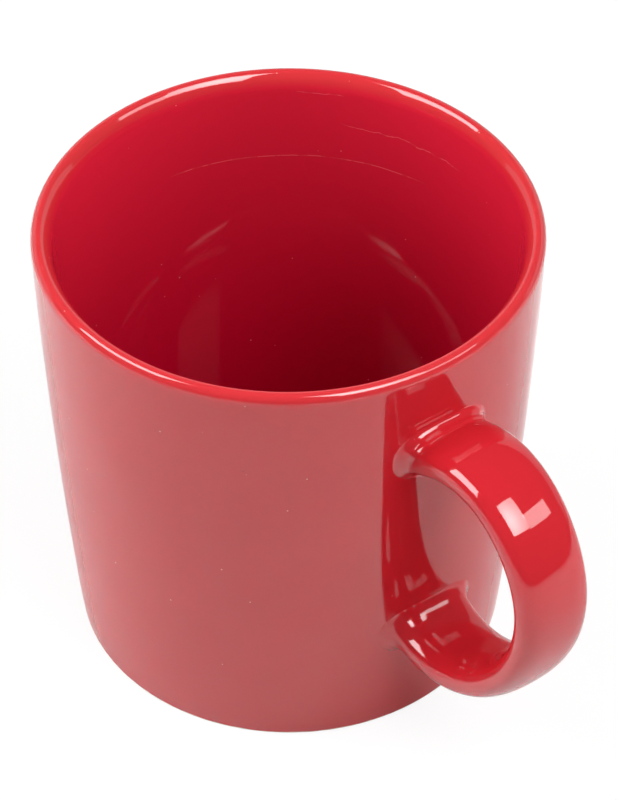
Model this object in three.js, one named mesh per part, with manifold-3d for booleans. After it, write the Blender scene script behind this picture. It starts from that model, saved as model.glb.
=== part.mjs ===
// Glazed stoneware mug: a tapered cup on a foot ring, and an ear-shaped strap handle
// luted to its wall with two beads of slip. Millimetres, +Z up, handle towards +X.
import * as THREE from 'three';
import { mergeVertices } from 'three/addons/utils/BufferGeometryUtils.js';
import Module from 'manifold-3d';

// Cup
const HEIGHT = 80.9;
const RIM_R = 41;
const BASE_R = 36.3;
const WALL_SWELL = 0.6; // bulge of the outer wall beyond a straight cone
const WALL_T = 3.9; // wall thickness at the base
const LIP_OUT_R = 2; // the lip's section is three arcs: a soft shoulder outside,
const LIP_CREST_R = 1.05; // a tight crest,
const LIP_IN_R = 4.5; // and a long shoulder that runs down into the inner wall
const LIP_TURN = THREE.MathUtils.degToRad(45); // slope at which each shoulder meets the crest
const FLOOR_T = 4.4;
const FLOOR_FILLET = 5;
const FOOT_EDGE_R = 0.5;
const FOOT_WIDTH = 3.4; // flat of the foot ring
const FOOT_RECESS = 1.2;

// Strap handle: its centreline runs from the upper root over the grip to the lower root
const TOP_ROOT_DROP = 17.7; // upper root below the rim
const LOW_ROOT_Z = 22.6;
const GRIP_Z = 48.2; // height of the outermost point
const GRIP_STANDOFF = 26.7; // outermost point of the centreline, beyond the rim
const TOP_PULL = [16, 10.6]; // how far each curve keeps the direction of its root
const LOW_PULL = [13.5, -6.8];
const GRIP_PULL_UP = 11.7;
const GRIP_PULL_DOWN = 15.8;
const STRAP_W_ROOT = 14.8;
const STRAP_W_GRIP = 12.9;
const STRAP_T_ROOT = 6.6;
const STRAP_T_GRIP = 6.1;
const STRAP_SQUARENESS = 2.5; // exponent of the section: 2 is an ellipse
const ROOT_TAIL = 6; // strap drawn on into the wall before it is cut to the wall's curve

// Slip beads and the clearance of every seat
const SLIP_FILLET = 2;
const SLIP_EDGE = 0.25; // thickness that the bead runs out to
const SEAT_GAP = 0.3;

const CUP_SEGMENTS = 64;
const STRAP_STEPS = 44;
const STRAP_SIDES = 24;

// Centres of the lip's three arcs, and the wall thickness that they leave under the lip
const crestZ = HEIGHT - LIP_CREST_R;
const lipOutX = RIM_R - LIP_OUT_R;
const lipOutZ = crestZ - (LIP_OUT_R - LIP_CREST_R) * Math.sin(LIP_TURN);
const crestX = lipOutX + (LIP_OUT_R - LIP_CREST_R) * Math.cos(LIP_TURN);
const lipInX = crestX + (LIP_IN_R - LIP_CREST_R) * Math.cos(LIP_TURN);
const lipInZ = crestZ - (LIP_IN_R - LIP_CREST_R) * Math.sin(LIP_TURN);
const lipT = RIM_R - (lipInX - LIP_IN_R);

const wasm = await Module();
wasm.setup();

function toSolid(geometry) {
  geometry.deleteAttribute('normal');
  geometry.deleteAttribute('uv');
  const merged = mergeVertices(geometry, 1e-4);
  const old = merged.index.array;
  const triVerts = [];
  for (let i = 0; i < old.length; i += 3) {
    const [a, b, c] = old.subarray(i, i + 3);
    if (a !== b && b !== c && c !== a) triVerts.push(a, b, c);
  }
  return new wasm.Manifold(new wasm.Mesh({
    numProp: 3,
    vertProperties: merged.attributes.position.array,
    triVerts: new Uint32Array(triVerts),
  }));
}

function toGeometry(solid) {
  const { numProp, vertProperties, triVerts } = solid.getMesh();
  const positions = new Float32Array((vertProperties.length / numProp) * 3);
  for (let i = 0; i < positions.length / 3; i++) {
    positions.set(vertProperties.subarray(i * numProp, i * numProp + 3), i * 3);
  }
  const geometry = new THREE.BufferGeometry();
  geometry.setAttribute('position', new THREE.BufferAttribute(positions, 3));
  geometry.setIndex(new THREE.BufferAttribute(triVerts, 1));
  geometry.computeVertexNormals();
  return geometry;
}

// Radius of the cup's outer wall at a height, and of the inner wall behind it.
function outerRadius(z) {
  const s = z / lipOutZ;
  return BASE_R + (RIM_R - BASE_R) * s + 4 * WALL_SWELL * s * (1 - s);
}

function innerRadius(z) {
  return outerRadius(z) - THREE.MathUtils.lerp(WALL_T, lipT, z / lipOutZ);
}

function arc(x, z, radius, from, to, steps) {
  return Array.from({ length: steps + 1 }, (_, i) => {
    const a = THREE.MathUtils.lerp(from, to, i / steps);
    return [x + radius * Math.cos(a), z + radius * Math.sin(a)];
  });
}

function along(radiusAt, fromZ, toZ, steps) {
  return Array.from({ length: steps + 1 }, (_, i) => {
    const z = THREE.MathUtils.lerp(fromZ, toZ, i / steps);
    return [radiusAt(z), z];
  });
}

function revolve(profile) {
  const points = profile.map(([r, z]) => new THREE.Vector2(r, z));
  return toSolid(new THREE.LatheGeometry(points, CUP_SEGMENTS).rotateX(Math.PI / 2));
}

// The cup's section, from the middle of its underside round the lip to the middle of its floor.
function makeCup() {
  const footOut = BASE_R - FOOT_EDGE_R;
  const footIn = footOut - FOOT_WIDTH;
  const floorZ = FOOT_RECESS + FLOOR_T;
  const filletTop = floorZ + FLOOR_FILLET;
  return revolve([
    [0, FOOT_RECESS],
    [footIn - FOOT_RECESS, FOOT_RECESS],
    [footIn, 0],
    ...arc(footOut, FOOT_EDGE_R, FOOT_EDGE_R, -Math.PI / 2, 0, 4),
    ...along(outerRadius, 4 * FOOT_EDGE_R, lipOutZ - LIP_OUT_R, 9),
    ...arc(lipOutX, lipOutZ, LIP_OUT_R, 0, LIP_TURN, 3),
    ...arc(crestX, crestZ, LIP_CREST_R, LIP_TURN, Math.PI - LIP_TURN, 6),
    ...arc(lipInX, lipInZ, LIP_IN_R, Math.PI - LIP_TURN, Math.PI, 4),
    ...along(innerRadius, lipInZ - LIP_OUT_R, filletTop, 7),
    ...arc(innerRadius(filletTop) - FLOOR_FILLET, filletTop, FLOOR_FILLET, -Math.PI / 15, -Math.PI / 2, 6),
    [0, floorZ],
  ]);
}

// The cup's outer form as a full plug, grown by the seat gap: it cuts what is pressed on the wall.
function makeWallCutter() {
  const radiusAt = (z) => outerRadius(z) + SEAT_GAP;
  return revolve([[0, 0], ...along(radiusAt, 0, HEIGHT, 9), [0, HEIGHT]]);
}

// Centreline of the strap in the XZ plane, with straight tails that run into the wall.
function makeStrapLine() {
  const point = (x, z) => new THREE.Vector3(x, 0, z);
  const topZ = HEIGHT - TOP_ROOT_DROP;
  const top = point(outerRadius(topZ), topZ);
  const low = point(outerRadius(LOW_ROOT_Z), LOW_ROOT_Z);
  const grip = point(RIM_R + GRIP_STANDOFF, GRIP_Z);
  const topPull = point(...TOP_PULL);
  const lowPull = point(...LOW_PULL);
  const tail = (root, pull) => root.clone().addScaledVector(pull, -ROOT_TAIL / pull.length());
  const line = new THREE.CurvePath();
  line.add(new THREE.LineCurve3(tail(top, topPull), top));
  line.add(new THREE.CubicBezierCurve3(
    top, top.clone().add(topPull), point(grip.x, grip.z + GRIP_PULL_UP), grip));
  line.add(new THREE.CubicBezierCurve3(
    grip, point(grip.x, grip.z - GRIP_PULL_DOWN), low.clone().add(lowPull), low));
  line.add(new THREE.LineCurve3(low, tail(low, lowPull)));
  return line;
}

const strapLine = makeStrapLine();

// A point of the strap's skin: share t of the way along the centreline, at an angle round the
// section, with the section grown by a margin.
function strapPoint(t, angle, margin = 0) {
  const toRoot = (2 * t - 1) ** 2;
  const halfW = THREE.MathUtils.lerp(STRAP_W_GRIP, STRAP_W_ROOT, toRoot) / 2 + margin;
  const halfT = THREE.MathUtils.lerp(STRAP_T_GRIP, STRAP_T_ROOT, toRoot) / 2 + margin;
  const power = (v) => Math.sign(v) * Math.abs(v) ** (2 / STRAP_SQUARENESS);
  const tangent = strapLine.getTangent(t);
  const outward = new THREE.Vector3(-tangent.z, 0, tangent.x);
  return strapLine.getPoint(t)
    .addScaledVector(outward, halfT * power(Math.sin(angle)))
    .add(new THREE.Vector3(0, halfW * power(Math.cos(angle)), 0));
}

// Rings of points joined into a closed tube, with a flat fan at each end.
function loft(rings) {
  const sides = rings[0].length;
  const points = rings.flat();
  const middle = (ring) => ring.reduce((sum, p) => sum.add(p), new THREE.Vector3()).divideScalar(sides);
  points.push(middle(rings[0]), middle(rings.at(-1)));
  const first = points.length - 2;
  const end = (rings.length - 1) * sides;
  const index = [];
  for (let k = 0; k < sides; k++) {
    const next = (k + 1) % sides;
    for (let i = 0; i < end; i += sides) {
      index.push(i + k, i + next, i + sides + k, i + next, i + sides + next, i + sides + k);
    }
    index.push(first, next, k, first + 1, end + k, end + next);
  }
  const geometry = new THREE.BufferGeometry().setFromPoints(points);
  geometry.setIndex(index);
  return toSolid(geometry);
}

const angles = Array.from({ length: STRAP_SIDES }, (_, k) => (2 * Math.PI * k) / STRAP_SIDES);

function makeStrap(margin = 0) {
  return loft(Array.from({ length: STRAP_STEPS + 1 }, (_, i) =>
    angles.map((a) => strapPoint(i / STRAP_STEPS, a, margin))));
}

// How far along the strap its skin stands a given distance off the wall, counted from one end.
function strapShareAt(distance, angle, fromEnd) {
  let near = 0;
  let far = 0.4;
  for (let i = 0; i < 40; i++) {
    const mid = (near + far) / 2;
    const p = strapPoint(fromEnd ? 1 - mid : mid, angle);
    if (Math.hypot(p.x, p.y) - outerRadius(p.z) < distance) near = mid;
    else far = mid;
  }
  return fromEnd ? 1 - near : near;
}

// A slip bead: a collar that flares from the strap onto the wall in a concave fillet.
function makeSlipBead(fromEnd, strapSocket, wallCutter) {
  const skin = SEAT_GAP + SLIP_EDGE;
  const ring = (distance, margin) =>
    angles.map((a) => strapPoint(strapShareAt(distance, a, fromEnd), a, margin));
  const rings = [ring(-1, skin + SLIP_FILLET)];
  for (const deg of [0, 15, 30, 45, 60, 75, 90]) {
    const a = THREE.MathUtils.degToRad(deg);
    rings.push(ring(skin + SLIP_FILLET * (1 - Math.cos(a)), skin + SLIP_FILLET * (1 - Math.sin(a))));
  }
  if (fromEnd) rings.reverse();
  return loft(rings).subtract(strapSocket).subtract(wallCutter);
}

const glaze = new THREE.MeshStandardMaterial({ color: 0xa8101f, roughness: 0.12, metalness: 0 });

const mug = new THREE.Group();
mug.name = 'mug';

function addPiece(name, solid) {
  const mesh = new THREE.Mesh(toGeometry(solid), glaze);
  mesh.name = name;
  mug.add(mesh);
}

const wallCutter = makeWallCutter();
const strapSocket = makeStrap(SEAT_GAP);
addPiece('cup_body', makeCup());
addPiece('handle', makeStrap().subtract(wallCutter));
addPiece('upper_handle_joint', makeSlipBead(false, strapSocket, wallCutter));
addPiece('lower_handle_joint', makeSlipBead(true, strapSocket, wallCutter));

// The origin lies under the middle of the whole mug, on the plane that the foot ring stands on.
mug.position.x = -(GRIP_STANDOFF + STRAP_T_GRIP / 2) / 2;

export default mug;
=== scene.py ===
from math import atan2, copysign, cos, pi, radians, sin, sqrt, tan

import bpy
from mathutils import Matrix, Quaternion, Vector


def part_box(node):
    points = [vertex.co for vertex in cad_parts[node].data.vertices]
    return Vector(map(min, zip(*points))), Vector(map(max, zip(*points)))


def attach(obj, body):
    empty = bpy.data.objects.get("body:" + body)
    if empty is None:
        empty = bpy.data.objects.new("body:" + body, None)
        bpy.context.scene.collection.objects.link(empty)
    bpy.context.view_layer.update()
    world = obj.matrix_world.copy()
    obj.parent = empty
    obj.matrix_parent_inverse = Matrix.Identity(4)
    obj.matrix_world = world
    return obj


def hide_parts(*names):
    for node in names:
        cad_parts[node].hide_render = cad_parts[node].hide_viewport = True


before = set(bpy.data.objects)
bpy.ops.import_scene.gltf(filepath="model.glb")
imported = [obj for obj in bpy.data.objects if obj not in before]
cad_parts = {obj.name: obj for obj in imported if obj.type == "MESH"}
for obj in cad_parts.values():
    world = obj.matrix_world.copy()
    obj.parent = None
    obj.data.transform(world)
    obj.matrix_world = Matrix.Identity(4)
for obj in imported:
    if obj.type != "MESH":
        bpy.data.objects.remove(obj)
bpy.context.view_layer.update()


# Cup: a thrown or pressed stoneware cup with a slightly swelled, tapering wall, a soft-shouldered lip, a
# filleted inside floor and a foot ring, glazed red all over but for the ring. Its section is drawn once
# and spun round the cup's own axis.
MM = 0.001
cup_low, cup_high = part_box("cup_body")
CUP_AXIS_X = (cup_low[0] + cup_high[0]) / 2 / MM
RIM_R = (cup_high[1] - cup_low[1]) / 2 / MM
HEIGHT = cup_high[2] / MM
BASE_R = 36.3
WALL_SWELL = 0.6
WALL_T = 3.9
LIP_CREST_R, LIP_OUT_R, LIP_IN_R, LIP_TURN = 1.05, 2.0, 4.5, 45
FLOOR_Z, FLOOR_FILLET = 5.6, 5.0
FOOT_EDGE_R, FOOT_WIDTH, FOOT_RECESS = 0.5, 3.4, 1.2

# Loops that hold the cage near an edge, as distances from it, and loops across its flat and long faces.
FOOT_HOLD, WALL_FOOT_HOLD, WALL_LIP_HOLD, FLOOR_HOLD = 0.6, 3, 1.6, 3
FLAT_LOOPS_R = (12, 24)
WALL_LOOPS, WALL_LOOP_CLEAR = 9, 2
SPIN_STEPS = 80

WALL_REDS = (0.585, 0.015, 0.025, 1), (0.640, 0.021, 0.031, 1)
# Inside the cup: painted light under the lip and painted shade darkening towards the floor.
PAINTED_LIGHT_UNDER_LIP_RED, PAINTED_SHADE_FLOOR_RED = (0.780, 0.019, 0.053, 1), (0.405, 0.001, 0.020, 1)
# Over the lip, lighter and more orange: partly the thinner glaze there, partly painted light of the lip's lit
# top.
LIP_THIN_GLAZE_AND_PAINTED_LIGHT_RED = (0.670, 0.034, 0.042, 1)
SCUFF_PINK = (0.90, 0.30, 0.30, 1)
PALE_GRAIN, DARK_GRAIN = (0.95, 0.55, 0.50, 1), (0.10, 0.012, 0.012, 1)
CLAY_TONES = (0.62, 0.50, 0.37, 1), (0.80, 0.71, 0.58, 1)
SCUFFS_SHOW, PALE_GRAINS_SHOW, DARK_GRAINS_SHOW = 0.2, 0.4, 0.35
GLAZE_IOR, GLAZE_SMOOTHEST, GLAZE_ROUGHEST = 1.62, 0.028, 0.063
SCUFF_ROUGHNESS, CLAY_ROUGHNESS = 0.3, 0.75
PEEL_HEIGHT, SWELL_HEIGHT, GRIT_HEIGHT, CLAY_HEIGHT = 0.0022, 0.030, 0.012, 0.10

turn_r, turn_z = cos(radians(LIP_TURN)), sin(radians(LIP_TURN))
OUT_Z = HEIGHT - LIP_CREST_R - (LIP_OUT_R - LIP_CREST_R) * turn_z
CREST_R = RIM_R - LIP_OUT_R + (LIP_OUT_R - LIP_CREST_R) * turn_r
IN_R = CREST_R + (LIP_IN_R - LIP_CREST_R) * turn_r
IN_Z = HEIGHT - LIP_CREST_R - (LIP_IN_R - LIP_CREST_R) * turn_z
LIP_T = RIM_R - (IN_R - LIP_IN_R)
FOOT_OUT = BASE_R - FOOT_EDGE_R
FOOT_IN = FOOT_OUT - FOOT_WIDTH


def outer_radius(z):
    s = z / OUT_Z
    return BASE_R + (RIM_R - BASE_R) * s + 4 * WALL_SWELL * s * (1 - s)


def inner_radius(z):
    return outer_radius(z) - (WALL_T + (LIP_T - WALL_T) * z / OUT_Z)


def arc(r, z, radius, from_deg, to_deg, steps):
    angles = [radians(from_deg + (to_deg - from_deg) * i / steps) for i in range(steps + 1)]
    return [(r + radius * cos(a), z + radius * sin(a)) for a in angles]


def cup_section():
    """Radius and height of the section's points, from under the base, up and over the lip, to the floor."""
    into_recess = ((-1.8, FOOT_RECESS), (-1.0, FOOT_RECESS - 0.1), (-0.3, 0.25), (0.3, 0), (1.2, 0))
    fillet_top = FLOOR_Z + FLOOR_FILLET
    fillet_r = inner_radius(fillet_top) - FLOOR_FILLET
    low_loop, high_loop = fillet_top + WALL_LOOP_CLEAR, IN_Z - WALL_LOOP_CLEAR
    rises = [HEIGHT * k / (WALL_LOOPS + 1) for k in range(1, WALL_LOOPS + 1)]
    return (
        [(r, FOOT_RECESS) for r in (0, *FLAT_LOOPS_R)]
        + [(FOOT_IN + step, z) for step, z in into_recess]
        + [(FOOT_OUT - FOOT_HOLD, 0)]
        + arc(FOOT_OUT, FOOT_EDGE_R, FOOT_EDGE_R, -80, -5, 4)
        + [(outer_radius(z), z) for z in (WALL_FOOT_HOLD, *rises, OUT_Z - WALL_LIP_HOLD)]
        + arc(RIM_R - LIP_OUT_R, OUT_Z, LIP_OUT_R, 2, LIP_TURN, 4)
        + arc(CREST_R, HEIGHT - LIP_CREST_R, LIP_CREST_R, LIP_TURN, 180 - LIP_TURN, 6)[1:]
        + arc(IN_R, IN_Z, LIP_IN_R, 180 - LIP_TURN, 177, 5)[1:]
        + [(inner_radius(z), z) for z in reversed(rises) if low_loop < z < high_loop]
        + arc(fillet_r, fillet_top, FLOOR_FILLET, -4, -86, 7)
        + [(r, FLOOR_Z) for r in (fillet_r - FLOOR_HOLD, FLAT_LOOPS_R[0], 0)]
    )


def ring_growth(corners):
    """How much larger a ring of corners is drawn, so that its subdivided circle has the true radius."""
    return 6 / (4 + 2 * cos(2 * pi / corners))


def spin_section(name, section):
    """Draws a section from one point by extruding it, and spins it round the cup's axis."""
    bpy.ops.object.select_all(action="DESELECT")
    spots = [Vector((CUP_AXIS_X + r * ring_growth(SPIN_STEPS), 0, z)) * MM for r, z in section]
    bpy.ops.mesh.primitive_plane_add(size=MM, location=spots[0])
    piece = bpy.context.object
    piece.name = name
    bpy.ops.object.transform_apply(location=True)
    bpy.ops.object.mode_set(mode="EDIT")
    bpy.ops.mesh.merge(type="CENTER")
    for a, b in zip(spots, spots[1:]):
        bpy.ops.mesh.extrude_vertices_move(TRANSFORM_OT_translate={"value": b - a})
    bpy.ops.mesh.select_all(action="SELECT")
    bpy.ops.mesh.spin(steps=SPIN_STEPS, angle=2 * pi, center=spots[0] * Vector((1, 0, 0)), axis=(0, 0, 1))
    bpy.ops.mesh.select_all(action="SELECT")
    bpy.ops.mesh.remove_doubles(threshold=0.01 * MM)
    bpy.ops.mesh.normals_make_consistent(inside=False)
    bpy.ops.object.mode_set(mode="OBJECT")
    return piece


def smooth(piece, levels):
    """Subdivides a finished cage for good and shades it smooth."""
    bpy.ops.object.select_all(action="DESELECT")
    piece.select_set(True)
    bpy.context.view_layer.objects.active = piece
    soft = piece.modifiers.new("soft", "SUBSURF")
    soft.levels = soft.render_levels = levels
    bpy.ops.object.modifier_apply(modifier=soft.name)
    bpy.ops.object.shade_smooth()


def add_node(kind, inputs, **settings):
    """A new node, fed by the sockets and plain values given for its inputs, in those sockets' tree."""
    tree = next(value.id_data for value in inputs.values() if isinstance(value, bpy.types.NodeSocket))
    node = tree.nodes.new(kind)
    for name, value in settings.items():
        setattr(node, name, value)
    for key, value in inputs.items():
        if isinstance(value, bpy.types.NodeSocket):
            tree.links.new(value, node.inputs[key])
        else:
            node.inputs[key].default_value = value
    return node


def calc(operation, a, b=0.0):
    return add_node("ShaderNodeMath", {0: a, 1: b}, operation=operation).outputs[0]


def overlap(*shares):
    """The share where all of some shares meet."""
    product = shares[0]
    for share in shares[1:]:
        product = calc("MULTIPLY", product, share)
    return product


def fade(value, start, end, first=0.0, last=1.0):
    """Eases from first, where a value is at start, to last, where it is at end."""
    ends = {"From Min": start, "From Max": end, "To Min": first, "To Max": last}
    node = add_node("ShaderNodeMapRange", {"Value": value, **ends}, interpolation_type="SMOOTHSTEP")
    return node.outputs["Result"]


def tint(share, under, over):
    return add_node("ShaderNodeMix", {0: share, 6: under, 7: over}, data_type="RGBA").outputs[2]


def make_glaze():
    """Glossy red glaze, melted on: thin and lighter over the lip, partly painted light there; inside, painted
    light under the lip and painted shade towards the floor; bare clay under the foot.
    """
    glaze = bpy.data.materials.new("red_glaze")
    glaze.use_nodes = True
    nodes, links = glaze.node_tree.nodes, glaze.node_tree.links
    shader = nodes["Principled BSDF"]
    place = nodes.new("ShaderNodeTexCoord").outputs["Object"]

    def clouds(size, detail=2.0):
        """Soft noise whose lumps are about size millimetres wide."""
        inputs = {"Vector": place, "Scale": 1 / (size * MM), "Detail": detail}
        return add_node("ShaderNodeTexNoise", inputs).outputs[0]

    def dots(spacing, radius):
        """Small round grains strewn through the glaze, seen where the surface cuts them."""
        cells = add_node("ShaderNodeTexVoronoi", {"Vector": place, "Scale": 1 / (spacing * MM)})
        return fade(cells.outputs["Distance"], 1.25 * radius / spacing, 0.6 * radius / spacing)

    across = add_node("ShaderNodeSeparateXYZ", {0: place})
    x = calc("SUBTRACT", across.outputs["X"], CUP_AXIS_X * MM)
    y, z = across.outputs["Y"], across.outputs["Z"]
    radius = calc("SQRT", calc("ADD", calc("MULTIPLY", x, x), calc("MULTIPLY", y, y)))
    bearing = calc("ARCTAN2", y, x)
    mid_wall = calc("ADD", calc("MULTIPLY", z, (RIM_R - BASE_R) / OUT_Z), (BASE_R - WALL_T / 2) * MM)
    indoors = overlap(
        fade(calc("SUBTRACT", mid_wall, radius), -0.4 * MM, 0.8 * MM),
        fade(z, 3.0 * MM, 4.5 * MM))
    # Where the inside's painted light and shade go: from under the lip down to the floor.
    inside_painted_light_and_shade = overlap(indoors, fade(z, (HEIGHT - 0.4) * MM, (HEIGHT - 3.5) * MM))
    painted_shade_depth = calc("POWER", fade(z, (HEIGHT - 4.0) * MM, 10.0 * MM), 0.5)
    lip_thin_glaze_and_painted_light = fade(z, (HEIGHT - 2.2) * MM, (HEIGHT - 0.5) * MM)

    colour = tint(clouds(22.0), *WALL_REDS)
    # Inside: painted light under the lip, easing into painted shade towards the floor.
    colour = tint(inside_painted_light_and_shade, colour, tint(painted_shade_depth, PAINTED_LIGHT_UNDER_LIP_RED, PAINTED_SHADE_FLOOR_RED))
    # Over the lip: thinner glaze plus painted light of its lit top.
    colour = tint(lip_thin_glaze_and_painted_light, colour, LIP_THIN_GLAZE_AND_PAINTED_LIGHT_RED)

    def hairline(height, wander, ends, width):
        """A fine rubbed line round the inside wall, at a height, between two bearings in degrees."""
        wave = calc("MULTIPLY", calc("SUBTRACT", clouds(6.0, 3.0), 0.5), wander * MM)
        off = calc("ABSOLUTE", calc("SUBTRACT", calc("ADD", z, wave), height * MM))
        middle, half = radians(sum(ends) / 2), radians((ends[1] - ends[0]) / 2)
        turn = calc("ABSOLUTE", calc("SUBTRACT", bearing, middle))
        worn = fade(clouds(2.6, 3.0), 0.25, 0.50)
        return overlap(fade(off, width * MM, 0.3 * width * MM), fade(turn, half, 0.8 * half), worn, indoors)

    scuffs = hairline(height=64.7, wander=0.5, ends=(104, 178), width=0.16)
    scuffs = calc("MAXIMUM", scuffs, hairline(height=71.6, wander=3.2, ends=(93, 131), width=0.15))
    scuffs = calc("MAXIMUM", scuffs, hairline(height=77.6, wander=2.0, ends=(129, 142), width=0.14))
    pale_grains = dots(spacing=4.3, radius=0.13)
    dark_grains = dots(spacing=8.7, radius=0.18)
    colour = tint(calc("MULTIPLY", scuffs, SCUFFS_SHOW), colour, SCUFF_PINK)
    colour = tint(calc("MULTIPLY", pale_grains, PALE_GRAINS_SHOW), colour, PALE_GRAIN)
    colour = tint(calc("MULTIPLY", dark_grains, DARK_GRAINS_SHOW), colour, DARK_GRAIN)

    glaze_edge = calc("MULTIPLY", calc("SUBTRACT", clouds(3.0), 0.5), 0.5 * MM)
    bare = overlap(
        fade(calc("ADD", z, glaze_edge), 0.55 * MM, 0.30 * MM),
        fade(radius, (FOOT_IN - 1.4) * MM, (FOOT_IN - 0.8) * MM))
    clay = tint(clouds(0.5, 4.0), *CLAY_TONES)
    links.new(tint(bare, colour, clay), shader.inputs["Base Color"])

    roughness = fade(clouds(9.0), 0.35, 0.8, GLAZE_SMOOTHEST, GLAZE_ROUGHEST)
    roughness = calc("MAXIMUM", roughness, calc("MULTIPLY", scuffs, SCUFF_ROUGHNESS))
    roughness = calc("MAXIMUM", roughness, calc("MULTIPLY", bare, CLAY_ROUGHNESS))
    links.new(roughness, shader.inputs["Roughness"])
    shader.inputs["IOR"].default_value = GLAZE_IOR

    peel = calc("MULTIPLY", clouds(1.5, 1.0), PEEL_HEIGHT * MM)
    swell = calc("MULTIPLY", clouds(14.0, 0.0), SWELL_HEIGHT * MM)
    grit = calc("MULTIPLY", pale_grains, GRIT_HEIGHT * MM)
    rough_clay = calc("MULTIPLY", overlap(bare, clouds(0.35, 3.0)), CLAY_HEIGHT * MM)
    height = calc("ADD", calc("ADD", peel, swell), calc("ADD", grit, rough_clay))
    relief = add_node("ShaderNodeBump", {"Height": height, "Distance": 1.0})
    links.new(relief.outputs["Normal"], shader.inputs["Normal"])
    return glaze


cup = spin_section("cup_body_glazed", cup_section())
smooth(cup, levels=2)
red_glaze = make_glaze()
cup.data.materials.append(red_glaze)
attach(cup, "root")
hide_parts("cup_body")


# Handle: a pulled strap of clay, an ear in side view, with a flat oval section that widens towards
# its roots. The oval is drawn once and extruded along the ear, and both ends run into the wall.
TOP_ROOT_DROP, LOW_ROOT_Z = 17.7, 22.6
GRIP_STANDOFF, GRIP_Z = 26.7, 48.2
TOP_PULL, LOW_PULL = Vector((16, 10.6)), Vector((13.5, -6.8))
GRIP_PULL_UP, GRIP_PULL_DOWN = Vector((0, 11.7)), Vector((0, 15.8))
STRAP_W_ROOT, STRAP_W_GRIP = 14.8, 12.9
STRAP_T_ROOT, STRAP_T_GRIP = 6.6, 6.1
STRAP_SQUARENESS = 2.52
STRAP_SIDES, STRAP_STEPS = 32, 28
STRAP_SUNK = 1.4

TOP_ROOT_Z = HEIGHT - TOP_ROOT_DROP
TOP_ROOT = Vector((outer_radius(TOP_ROOT_Z), TOP_ROOT_Z))
LOW_ROOT = Vector((outer_radius(LOW_ROOT_Z), LOW_ROOT_Z))
GRIP = Vector((RIM_R + GRIP_STANDOFF, GRIP_Z))
TOP_CURVE = (TOP_ROOT, TOP_ROOT + TOP_PULL, GRIP + GRIP_PULL_UP, GRIP)
LOW_CURVE = (GRIP, GRIP - GRIP_PULL_DOWN, LOW_ROOT + LOW_PULL, LOW_ROOT)


def strap_at(t):
    """Place, heading, width and thickness of the strap, with t from 0 at the upper root to 1 at the lower."""
    p0, p1, p2, p3 = TOP_CURVE if t < 0.5 else LOW_CURVE
    u = 2 * t if t < 0.5 else 2 * t - 1
    v = 1 - u
    spot = v ** 3 * p0 + 3 * v * v * u * p1 + 3 * v * u * u * p2 + u ** 3 * p3
    along = v * v * (p1 - p0) + 2 * v * u * (p2 - p1) + u * u * (p3 - p2)
    to_root = (2 * t - 1) ** 2
    return (
        Vector((CUP_AXIS_X + spot.x, 0, spot.y)) * MM,
        atan2(along.y, along.x),
        (STRAP_W_GRIP + (STRAP_W_ROOT - STRAP_W_GRIP) * to_root) * MM,
        (STRAP_T_GRIP + (STRAP_T_ROOT - STRAP_T_GRIP) * to_root) * MM,
    )


def sunk_end(root_t):
    """The strap's last station: square to the cup, a little way inside its wall."""
    spot, _, width, thick = strap_at(root_t)
    return spot - Vector((STRAP_SUNK * MM, 0, 0)), 0 if root_t == 0 else pi, width, thick


def start_oval(name, spot, heading, width, thick):
    """A filled oval across the strap's heading, as a flat disc pressed towards a rectangle."""
    bpy.ops.object.select_all(action="DESELECT")
    bpy.ops.mesh.primitive_circle_add(
        vertices=STRAP_SIDES, radius=ring_growth(STRAP_SIDES), fill_type="NGON")
    piece = bpy.context.object
    piece.name = name
    for corner in piece.data.vertices:
        size, turn = corner.co.length, atan2(corner.co.y, corner.co.x)
        c, s = cos(turn), sin(turn)
        corner.co.x = copysign(abs(c) ** (2 / STRAP_SQUARENESS), c) * thick / 2 * size
        corner.co.y = copysign(abs(s) ** (2 / STRAP_SQUARENESS), s) * width / 2 * size
    piece.location = spot
    piece.rotation_euler = (0, pi / 2 - heading, 0)
    bpy.ops.object.transform_apply(location=True, rotation=True)
    return piece


def extrude_oval(old, new):
    """Extrudes the selected end face from one station to the next."""
    (spot, heading, width, thick), (to_spot, to_heading, to_width, to_thick) = old, new
    bpy.ops.mesh.extrude_region_move(TRANSFORM_OT_translate={"value": to_spot - spot})
    turn = (to_heading - heading + pi) % (2 * pi) - pi
    bpy.ops.transform.rotate(value=turn, orient_axis="Y", center_override=to_spot)
    bpy.ops.transform.resize(
        value=(to_thick / thick, to_width / width, to_thick / thick), center_override=to_spot)


def sweep_oval(name, stations):
    """Draws an oval at the first of some stations and extrudes it through the others."""
    piece = start_oval(name, *stations[0])
    bpy.ops.object.mode_set(mode="EDIT")
    bpy.ops.mesh.select_all(action="SELECT")
    for old, new in zip(stations, stations[1:]):
        extrude_oval(old, new)
    bpy.ops.mesh.select_all(action="SELECT")
    bpy.ops.mesh.normals_make_consistent(inside=False)
    bpy.ops.object.mode_set(mode="OBJECT")
    return piece


along_ear = [strap_at(i / STRAP_STEPS) for i in range(STRAP_STEPS + 1)]
strap = sweep_oval("handle_strap", [sunk_end(0), *along_ear, sunk_end(1)])
smooth(strap, levels=3)
strap.data.materials.append(red_glaze)
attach(strap, "root")
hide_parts("handle")


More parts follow.
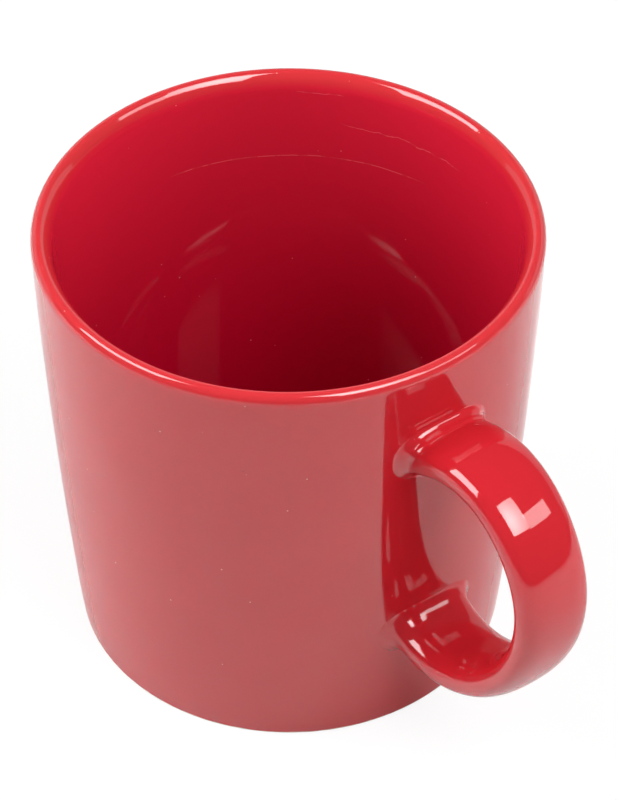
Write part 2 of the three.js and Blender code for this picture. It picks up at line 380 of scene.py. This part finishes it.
# Handle joints: a bead of slip smoothed into the corner all round each root of the strap, fired and
# glazed over with it. Each is a collar of ovals that follow a hollow arc from the strap to the wall.
BEADS = {
    "upper_handle_joint": {"root_t": 0, "above": 1.4, "below": 2.2, "beside": 2.0},
    "lower_handle_joint": {"root_t": 1, "above": 4.2, "below": 1.4, "beside": 2.3},
}
BEAD_SHARES = (1.55, 1.2, 1.0, 0.84, 0.68, 0.52, 0.36, 0.2, 0.07, 0)
SIDE_CORNER = radians(100)
BEAD_EDGE, STRAP_TUCK, WALL_TUCK = 0.03, 0.09, 0.15
WALL_LAP, BEAD_SUNK = 0.5, 2.2
STRAP_SEARCH_STEP = 0.0005


def strap_over_wall(root_t, clear):
    """The strap's place, upright thickness and width where its middle stands a distance off the wall."""
    root = strap_at(root_t)[0]
    t, step = root_t, STRAP_SEARCH_STEP if root_t == 0 else -STRAP_SEARCH_STEP
    while strap_at(t)[0].x - root.x < clear * MM:
        t += step
    spot, heading, width, thick = strap_at(t)
    return spot, thick / abs(cos(heading)), width


def hollow(radius, corner, share):
    """A point of a hollow arc in a corner, as steps off and along the wall: share 0 is on the wall,
    1 on the strap and more than 1 further out along the strap."""
    touch, turn = radius / tan(corner / 2), min(share, 1) * (pi - corner)
    past = max(share - 1, 0) * touch
    return Vector((
        radius * (1 - cos(turn)) + past * sin(corner),
        touch - radius * sin(turn) + past * cos(corner)))


def ring_corners(ring):
    return range(ring * STRAP_SIDES, (ring + 1) * STRAP_SIDES)


def lay_on(piece, rings, target, method, offset):
    """Lays whole rings of a cage on another piece, a little above or below its surface."""
    group = piece.vertex_groups.new(name="laid")
    group.add([i for ring in rings for i in ring_corners(ring)], 1, "ADD")
    lay = piece.modifiers.new("lay", "SHRINKWRAP")
    lay.target, lay.vertex_group = target, group.name
    lay.wrap_method, lay.wrap_mode, lay.offset = method, "ABOVE_SURFACE", offset * MM
    if method == "PROJECT":
        lay.use_project_x, lay.use_negative_direction, lay.use_positive_direction = True, True, True
    bpy.ops.object.modifier_apply(modifier=lay.name)
    piece.vertex_groups.clear()


def make_bead(name, root_t, above, below, beside):
    """A collar round a root, by the radius of its hollow above, below and beside the strap. The corner
    is the angle between the wall, taken upright, and the strap's upper face."""
    root, upright, _ = strap_over_wall(root_t, 0)
    corner = atan2(MM, strap_over_wall(root_t, 1)[0].z - root.z)
    wall_r = root.x - CUP_AXIS_X * MM

    def oval(share, margin):
        top = Vector((0, upright / MM / 2 + margin)) + hollow(above, corner, share)
        low = hollow(below, pi - corner, share)
        low = Vector((low.x, -upright / MM / 2 - margin - low.y))
        middle, across = (top + low) / 2, top - low
        side = max(hollow(beside, SIDE_CORNER, min(share, 1)).y, 0) + margin
        strap_width = strap_over_wall(root_t, middle.x)[2]
        return (
            root + Vector((middle.x, 0, middle.y)) * MM, atan2(-across.x, across.y),
            strap_width + 2 * side * MM, across.length * MM)

    on_wall = len(BEAD_SHARES) - 1
    spot, *inside = oval(0, -WALL_LAP)
    stations = [oval(share, BEAD_EDGE) for share in BEAD_SHARES]
    stations += [oval(0, WALL_LAP), (spot - Vector((BEAD_SUNK * MM, 0, 0)), *inside)]
    bead = sweep_oval(name, stations)
    for ring, share in enumerate(BEAD_SHARES):
        for i in ring_corners(ring):
            place = bead.data.vertices[i].co
            round_wall = wall_r - sqrt(wall_r ** 2 - place.y ** 2)
            place.x -= max(1 - share, 0) * round_wall
    lay_on(bead, [0], strap, "NEAREST_SURFACEPOINT", -STRAP_TUCK)
    lay_on(bead, [1, 2], strap, "NEAREST_SURFACEPOINT", BEAD_EDGE)
    lay_on(bead, [on_wall], cup, "PROJECT", BEAD_EDGE)
    lay_on(bead, [on_wall + 1], cup, "PROJECT", -WALL_TUCK)
    smooth(bead, levels=3)
    bead.data.materials.append(red_glaze)
    return bead


for node, shape in BEADS.items():
    bead = make_bead(node + "_bead", **shape)
    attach(bead, "root")
    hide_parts(node)


# Floor: a plain sheet of white paper, which the mug's foot ring stands on and which curves up behind it.
# It shows white, with the mug's faint shadow, and throws back about half of the light that falls on it.
# Its mirror image in the glaze carries painted shade, darker behind the mug, and a painted glow where the
# paper curves up.
VIEW_TURN = radians(53.35)
PAPER_HALF, PAPER_BEHIND, PAPER_BEND, PAPER_RISE = 3.0, 0.75, 0.35, 0.45
BEND_STEPS = 12
PAPER_TONE, PAPER_SEEN_TONE, PAPER_SEEN_GLOW, PAPER_WHITE = 0.52, 0.86, 0.86, 1.04


def from_camera(right, ahead, up):
    """A direction given as seen from the camera, turned into the mug's own frame."""
    return Vector((
        right * cos(VIEW_TURN) - ahead * sin(VIEW_TURN),
        right * sin(VIEW_TURN) + ahead * cos(VIEW_TURN), up))


def blend(share, under, over):
    return add_node("ShaderNodeMix", {0: share, 2: under, 3: over}).outputs[0]


def make_paper():
    paper = bpy.data.materials.new("white_paper")
    paper.use_nodes = True
    nodes, links = paper.node_tree.nodes, paper.node_tree.links
    nodes.remove(nodes["Principled BSDF"])
    path = nodes.new("ShaderNodeLightPath").outputs
    place = nodes.new("ShaderNodeTexCoord").outputs["Object"]
    ahead = add_node("ShaderNodeVectorMath", {0: place, 1: from_camera(0, 1, 0)}, operation="DOT_PRODUCT")
    behind = ahead.outputs["Value"]

    seen = path["Is Camera Ray"]
    mirrored = calc("MAXIMUM", path["Is Glossy Ray"], path["Is Transmission Ray"])
    # In the gloss only: painted shade on the paper behind the mug, and a painted glow where it curves up.
    mirror_painted_shade_tone = fade(behind, start=0.07, end=0.45, first=0.95, last=0.30)
    mirror_painted_glow = fade(behind, start=0.5, end=0.8, first=0, last=0.6)
    tone = blend(seen, blend(mirrored, PAPER_TONE, mirror_painted_shade_tone), PAPER_SEEN_TONE)
    seen_glow = calc("MULTIPLY", seen, PAPER_SEEN_GLOW)
    glow = calc("MAXIMUM", seen_glow, calc("MULTIPLY", mirrored, mirror_painted_glow))
    lit = add_node("ShaderNodeBsdfDiffuse", {"Color": tone}).outputs[0]
    white = nodes.new("ShaderNodeEmission")
    white.inputs["Strength"].default_value = PAPER_WHITE
    surface = add_node("ShaderNodeMixShader", {0: glow, 1: lit, 2: white.outputs[0]}).outputs[0]
    links.new(surface, nodes["Material Output"].inputs["Surface"])
    return paper


bpy.ops.object.select_all(action="DESELECT")
bpy.ops.mesh.primitive_plane_add(
    size=2 * PAPER_HALF, location=from_camera(0, PAPER_BEHIND - PAPER_HALF, 0), rotation=(0, 0, VIEW_TURN))
floor = bpy.context.object
floor.name = "paper_floor"
bpy.ops.object.transform_apply(location=True, rotation=True)
bpy.ops.object.mode_set(mode="EDIT")
bpy.ops.mesh.select_all(action="DESELECT")
bpy.ops.object.mode_set(mode="OBJECT")
for corner in floor.data.vertices:
    corner.select = corner.co.dot(from_camera(0, 1, 0)) > 0
bpy.ops.object.mode_set(mode="EDIT")
for i in range(BEND_STEPS):
    slope = (i + 0.5) * pi / 2 / BEND_STEPS
    step = PAPER_BEND * pi / 2 / BEND_STEPS
    bpy.ops.mesh.extrude_edges_move(
        TRANSFORM_OT_translate={"value": from_camera(0, cos(slope), sin(slope)) * step})
bpy.ops.mesh.extrude_edges_move(TRANSFORM_OT_translate={"value": (0, 0, PAPER_RISE)})
bpy.ops.object.mode_set(mode="OBJECT")
bpy.ops.object.shade_smooth()
floor.data.materials.append(make_paper())


# Light: a softbox on each side of the camera, the right one with a low wing and a hot spot, and matt
# fills overhead and at both sides, in a dim room. A softbox has one lamp for its light and one, seen
# only in the gloss, for its bright face.
LIT_SPOT = Vector((CUP_AXIS_X * MM, 0, 0.05))
BOX_DISTANCE = 0.9
ROOM_DIM, ROOM_IN_GLOSS = 0.05, 0.10


def add_lamp(name, toward, distance, width, height, roll, radiance):
    lamp = bpy.data.lights.new(name, "AREA")
    lamp.shape = "RECTANGLE"
    lamp.size, lamp.size_y = width, height
    lamp.energy = radiance * pi * width * height
    box = bpy.data.objects.new(name, lamp)
    bpy.context.collection.objects.link(box)
    box.location = LIT_SPOT + toward.normalized() * distance
    face = toward.to_track_quat("Z", "Y") @ Quaternion((0, 0, 1), radians(roll))
    box.rotation_euler = face.to_euler()
    return box


def matt_light(name, toward, distance, width, height, roll, radiance):
    """A lamp that lights the red of the glaze and leaves no glint in its gloss."""
    box = add_lamp(name, toward, distance, width, height, roll, radiance)
    box.visible_glossy = False
    box.data.cycles.use_multiple_importance_sampling = False


def fill(name, toward, distance, size, radiance):
    matt_light(name, toward, distance, size, size, 0, radiance)


def softbox(name, toward, width, height, roll, light, shine):
    matt_light(name + "_light", toward, BOX_DISTANCE, width, height, roll, light)
    face = add_lamp(name + "_face", toward, BOX_DISTANCE, width, height, roll, shine)
    face.visible_diffuse = False
    return face


def dim_face(face, hot, reach, dimmest):
    """Lets a softbox's cloth glow most at one spot of it, given in shares of its width and height."""
    face.data.use_nodes = True
    nodes, links = face.data.node_tree.nodes, face.data.node_tree.links
    on_face = nodes.new("ShaderNodeNewGeometry").outputs["Parametric"]
    away = add_node("ShaderNodeVectorMath", {0: on_face, 1: (*hot, 0)}, operation="DISTANCE")
    glow = fade(away.outputs["Value"], 0, reach, 1, dimmest)
    links.new(glow, nodes["Emission"].inputs["Strength"])


right_face = softbox(
    "softbox_right", from_camera(0.412, -0.458, 0.790),
    width=0.510, height=0.500, roll=-2.0, light=7.1, shine=12.3)
dim_face(right_face, hot=(0.35, 0.43), reach=0.8, dimmest=0.5)
softbox(
    "wing_right", from_camera(0.768, -0.220, 0.605),
    width=0.320, height=0.200, roll=-17.0, light=1.0, shine=5.0)
softbox(
    "softbox_left", from_camera(-0.684, -0.111, 0.722),
    width=0.56, height=0.43, roll=17.2, light=5.2, shine=8.8)
fill("overhead", from_camera(0.1, 0.0, 1.0), distance=1.5, size=1.2, radiance=0.8)
fill("side_right", from_camera(0.94, 0.1, 0.32), distance=1.2, size=0.8, radiance=1.7)
fill("side_left", from_camera(-0.89, 0.1, 0.41), distance=0.7, size=0.4, radiance=4.2)

world = bpy.data.worlds.new("studio")
bpy.context.scene.world = world
world.use_nodes = True
room = world.node_tree.nodes["Background"]
room.inputs["Color"].default_value = (1, 1, 1, 1)
path = world.node_tree.nodes.new("ShaderNodeLightPath").outputs
in_gloss = fade(path["Is Glossy Ray"], 0, 1, ROOM_DIM, ROOM_IN_GLOSS)
brightness = calc("MAXIMUM", path["Is Camera Ray"], in_gloss)
world.node_tree.links.new(brightness, room.inputs["Strength"])


# Camera: a long lens that looks down over the rim, with the handle to the front right. Its place is
# measured from the middle of the foot ring.
LENS_LENGTH, LOOK_DOWN = 154.8, 43.156
CAMERA_RIGHT, CAMERA_BACK, CAMERA_UP = 0.00327, 0.417303, 0.433659

lens = bpy.data.cameras.new("camera")
lens.lens = LENS_LENGTH
camera = bpy.data.objects.new("camera", lens)
bpy.context.collection.objects.link(camera)
camera.location = from_camera(CAMERA_RIGHT, -CAMERA_BACK, CAMERA_UP) + Vector((CUP_AXIS_X * MM, 0, 0))
camera.rotation_euler = (radians(90 - LOOK_DOWN), 0, VIEW_TURN)
bpy.context.scene.camera = camera
bpy.context.scene.view_settings.view_transform = "Standard"
